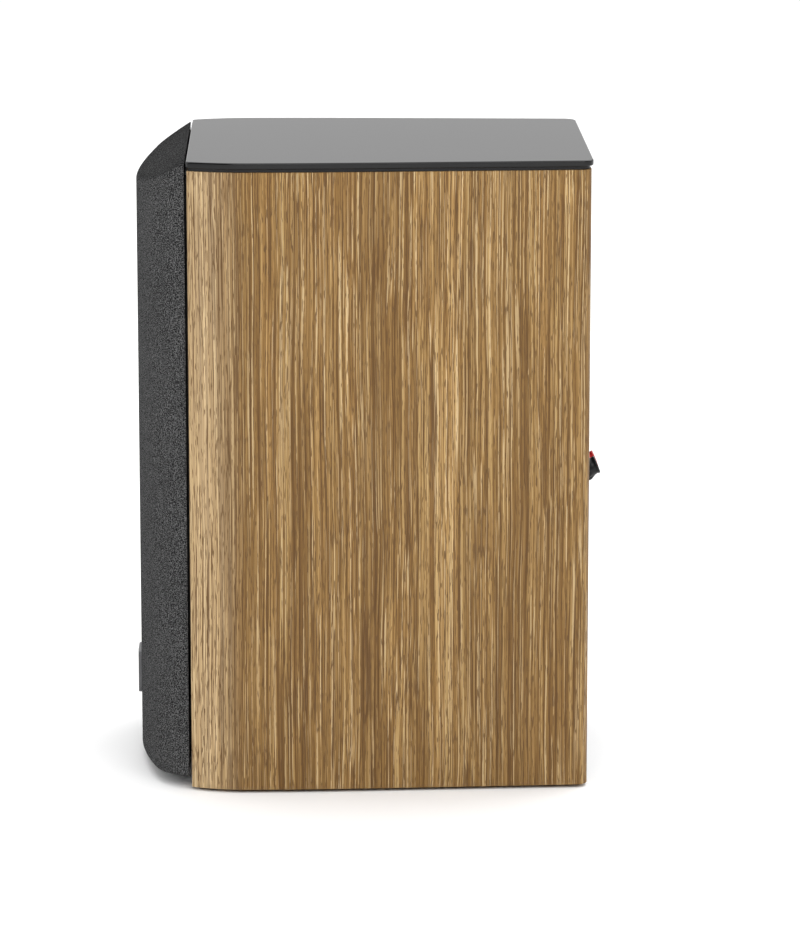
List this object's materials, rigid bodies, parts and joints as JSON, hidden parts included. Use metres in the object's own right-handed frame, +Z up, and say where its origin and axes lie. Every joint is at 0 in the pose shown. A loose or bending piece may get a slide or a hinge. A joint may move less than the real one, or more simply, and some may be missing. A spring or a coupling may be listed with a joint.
{
  "type": "bookshelf speaker",
  "caption": "Two-way ported bookshelf speaker with bowed veneered sides, glass top and a removable bulging cloth grille.",
  "frame": {"origin": "on the shelf, centred under the whole speaker", "axes": "+Z up, the front and its grille face -Y, +X is the right side panel seen from behind"},
  "size_m": [0.2204, 0.299, 0.4],
  "materials": {
    "veneer": "pale reconstituted oak veneer, straight vertical grain, satin lacquer",
    "fibreboard": "black-stained fibreboard with a fine satin foil",
    "glass": "toughened glass, painted black on its underside, polished rounded edge",
    "moulded_black": "fine-textured black moulding",
    "red_plastic": "clear red moulding over brass",
    "black_plastic": "satin black moulding",
    "grille_cloth": "dark grey acoustic cloth, fine plain weave",
    "badge": "brushed dark anodised plate, plain",
    "rubber": "matte black rubber",
    "cone": "woven-fibre cone with a satin skin",
    "silk": "coated silk dome",
    "spider_cloth": "resin-dipped corrugated cloth",
    "cast_frame": "black powder-coated casting",
    "plated_steel": "zinc plated",
    "screw_black": "black oxide",
    "ferrite": "ground ferrite",
    "copper": "enamelled copper winding",
    "brass": "bright gold-plated brass",
    "circuit_board": "green solder mask",
    "capacitor": "yellow film wrap",
    "wadding": "white polyester wadding"
  },
  "bodies": {
    "cabinet": {"side_panel_left": "veneer", "side_panel_right": "veneer", "top_panel": "fibreboard", "bottom_panel": "fibreboard", "internal_brace": "fibreboard", "front_baffle": "fibreboard", "rear_panel": "fibreboard", "top_spacer": "moulded_black", "baffle_fascia": "moulded_black", "woofer_trim_ring": "moulded_black", "tweeter_faceplate": "moulded_black", "bass_port": "moulded_black", "terminal_cup": "moulded_black", "glass_top": "glass", "foot_1": "rubber", "foot_2": "rubber", "foot_3": "rubber", "foot_4": "rubber", "grille_socket_1": "rubber", "grille_socket_2": "rubber", "grille_socket_3": "rubber", "grille_socket_4": "rubber", "woofer_surround": "rubber", "woofer_lead": "rubber", "tweeter_lead": "rubber", "input_lead": "rubber", "woofer_basket": "cast_frame", "woofer_top_plate": "plated_steel", "woofer_yoke": "plated_steel", "tweeter_motor": "plated_steel", "woofer_magnet": "ferrite", "woofer_spider": "spider_cloth", "bass_inductor": "copper", "treble_inductor": "copper", "tweeter_screw_1": "screw_black", "tweeter_screw_2": "screw_black", "tweeter_screw_3": "screw_black", "tweeter_screw_4": "screw_black", "terminal_screw_1": "screw_black", "terminal_screw_2": "screw_black", "terminal_screw_3": "screw_black", "terminal_screw_4": "screw_black", "terminal_stud_red": "brass", "terminal_stud_black": "brass", "crossover_board": "circuit_board", "capacitor_large": "capacitor", "capacitor_small": "capacitor", "damping_pad": "wadding"},
    "grille": {"grille_frame": "moulded_black", "grille_cloth": "grille_cloth", "badge_plate": "badge"},
    "woofer_moving": {"woofer_cone": "cone", "woofer_dust_cap": "cone", "woofer_voice_coil": "copper"},
    "tweeter_moving": {"tweeter_dome": "silk"},
    "red_washer": {"washer_red": "brass"},
    "red_knob": {"knob_red": "red_plastic"},
    "black_washer": {"washer_black": "brass"},
    "black_knob": {"knob_black": "black_plastic"}
  },
  "joints": [
    {"name": "grille_release", "type": "slide", "parent": "cabinet", "child": "grille", "axis": [0, -1, 0], "range_m": [0, 0.08]},
    {"name": "woofer_stroke", "type": "slide", "parent": "cabinet", "child": "woofer_moving", "axis": [0, -1, 0], "range_m": [-0.006, 0.006], "stiffness_N_per_m": 900, "deforming": ["woofer_surround", "woofer_spider"]},
    {"name": "tweeter_stroke", "type": "slide", "parent": "cabinet", "child": "tweeter_moving", "axis": [0, -1, 0], "range_m": [-0.0004, 0.0004], "stiffness_N_per_m": 1200},
    {"name": "red_post_travel", "type": "slide", "parent": "cabinet", "child": "red_washer", "axis": [0, 0.9272, 0.3746], "range_m": [0, 0.005]},
    {"name": "red_knob_turn", "type": "hinge", "parent": "red_washer", "child": "red_knob", "pos_m": [-0.0095, 0.13089, 0.18366], "axis": [0, 0.9272, 0.3746], "range_deg": [0, 1801]},
    {"name": "black_post_travel", "type": "slide", "parent": "cabinet", "child": "black_washer", "axis": [0, 0.9272, 0.3746], "range_m": [0, 0.005]},
    {"name": "black_knob_turn", "type": "hinge", "parent": "black_washer", "child": "black_knob", "pos_m": [0.0095, 0.13089, 0.18366], "axis": [0, 0.9272, 0.3746], "range_deg": [0, 1801]}
  ],
  "couplings": [
    {"joint": "red_knob_turn", "follows": "red_post_travel", "rad_per_m": 6283.2},
    {"joint": "black_knob_turn", "follows": "black_post_travel", "rad_per_m": 6283.2}
  ]
}
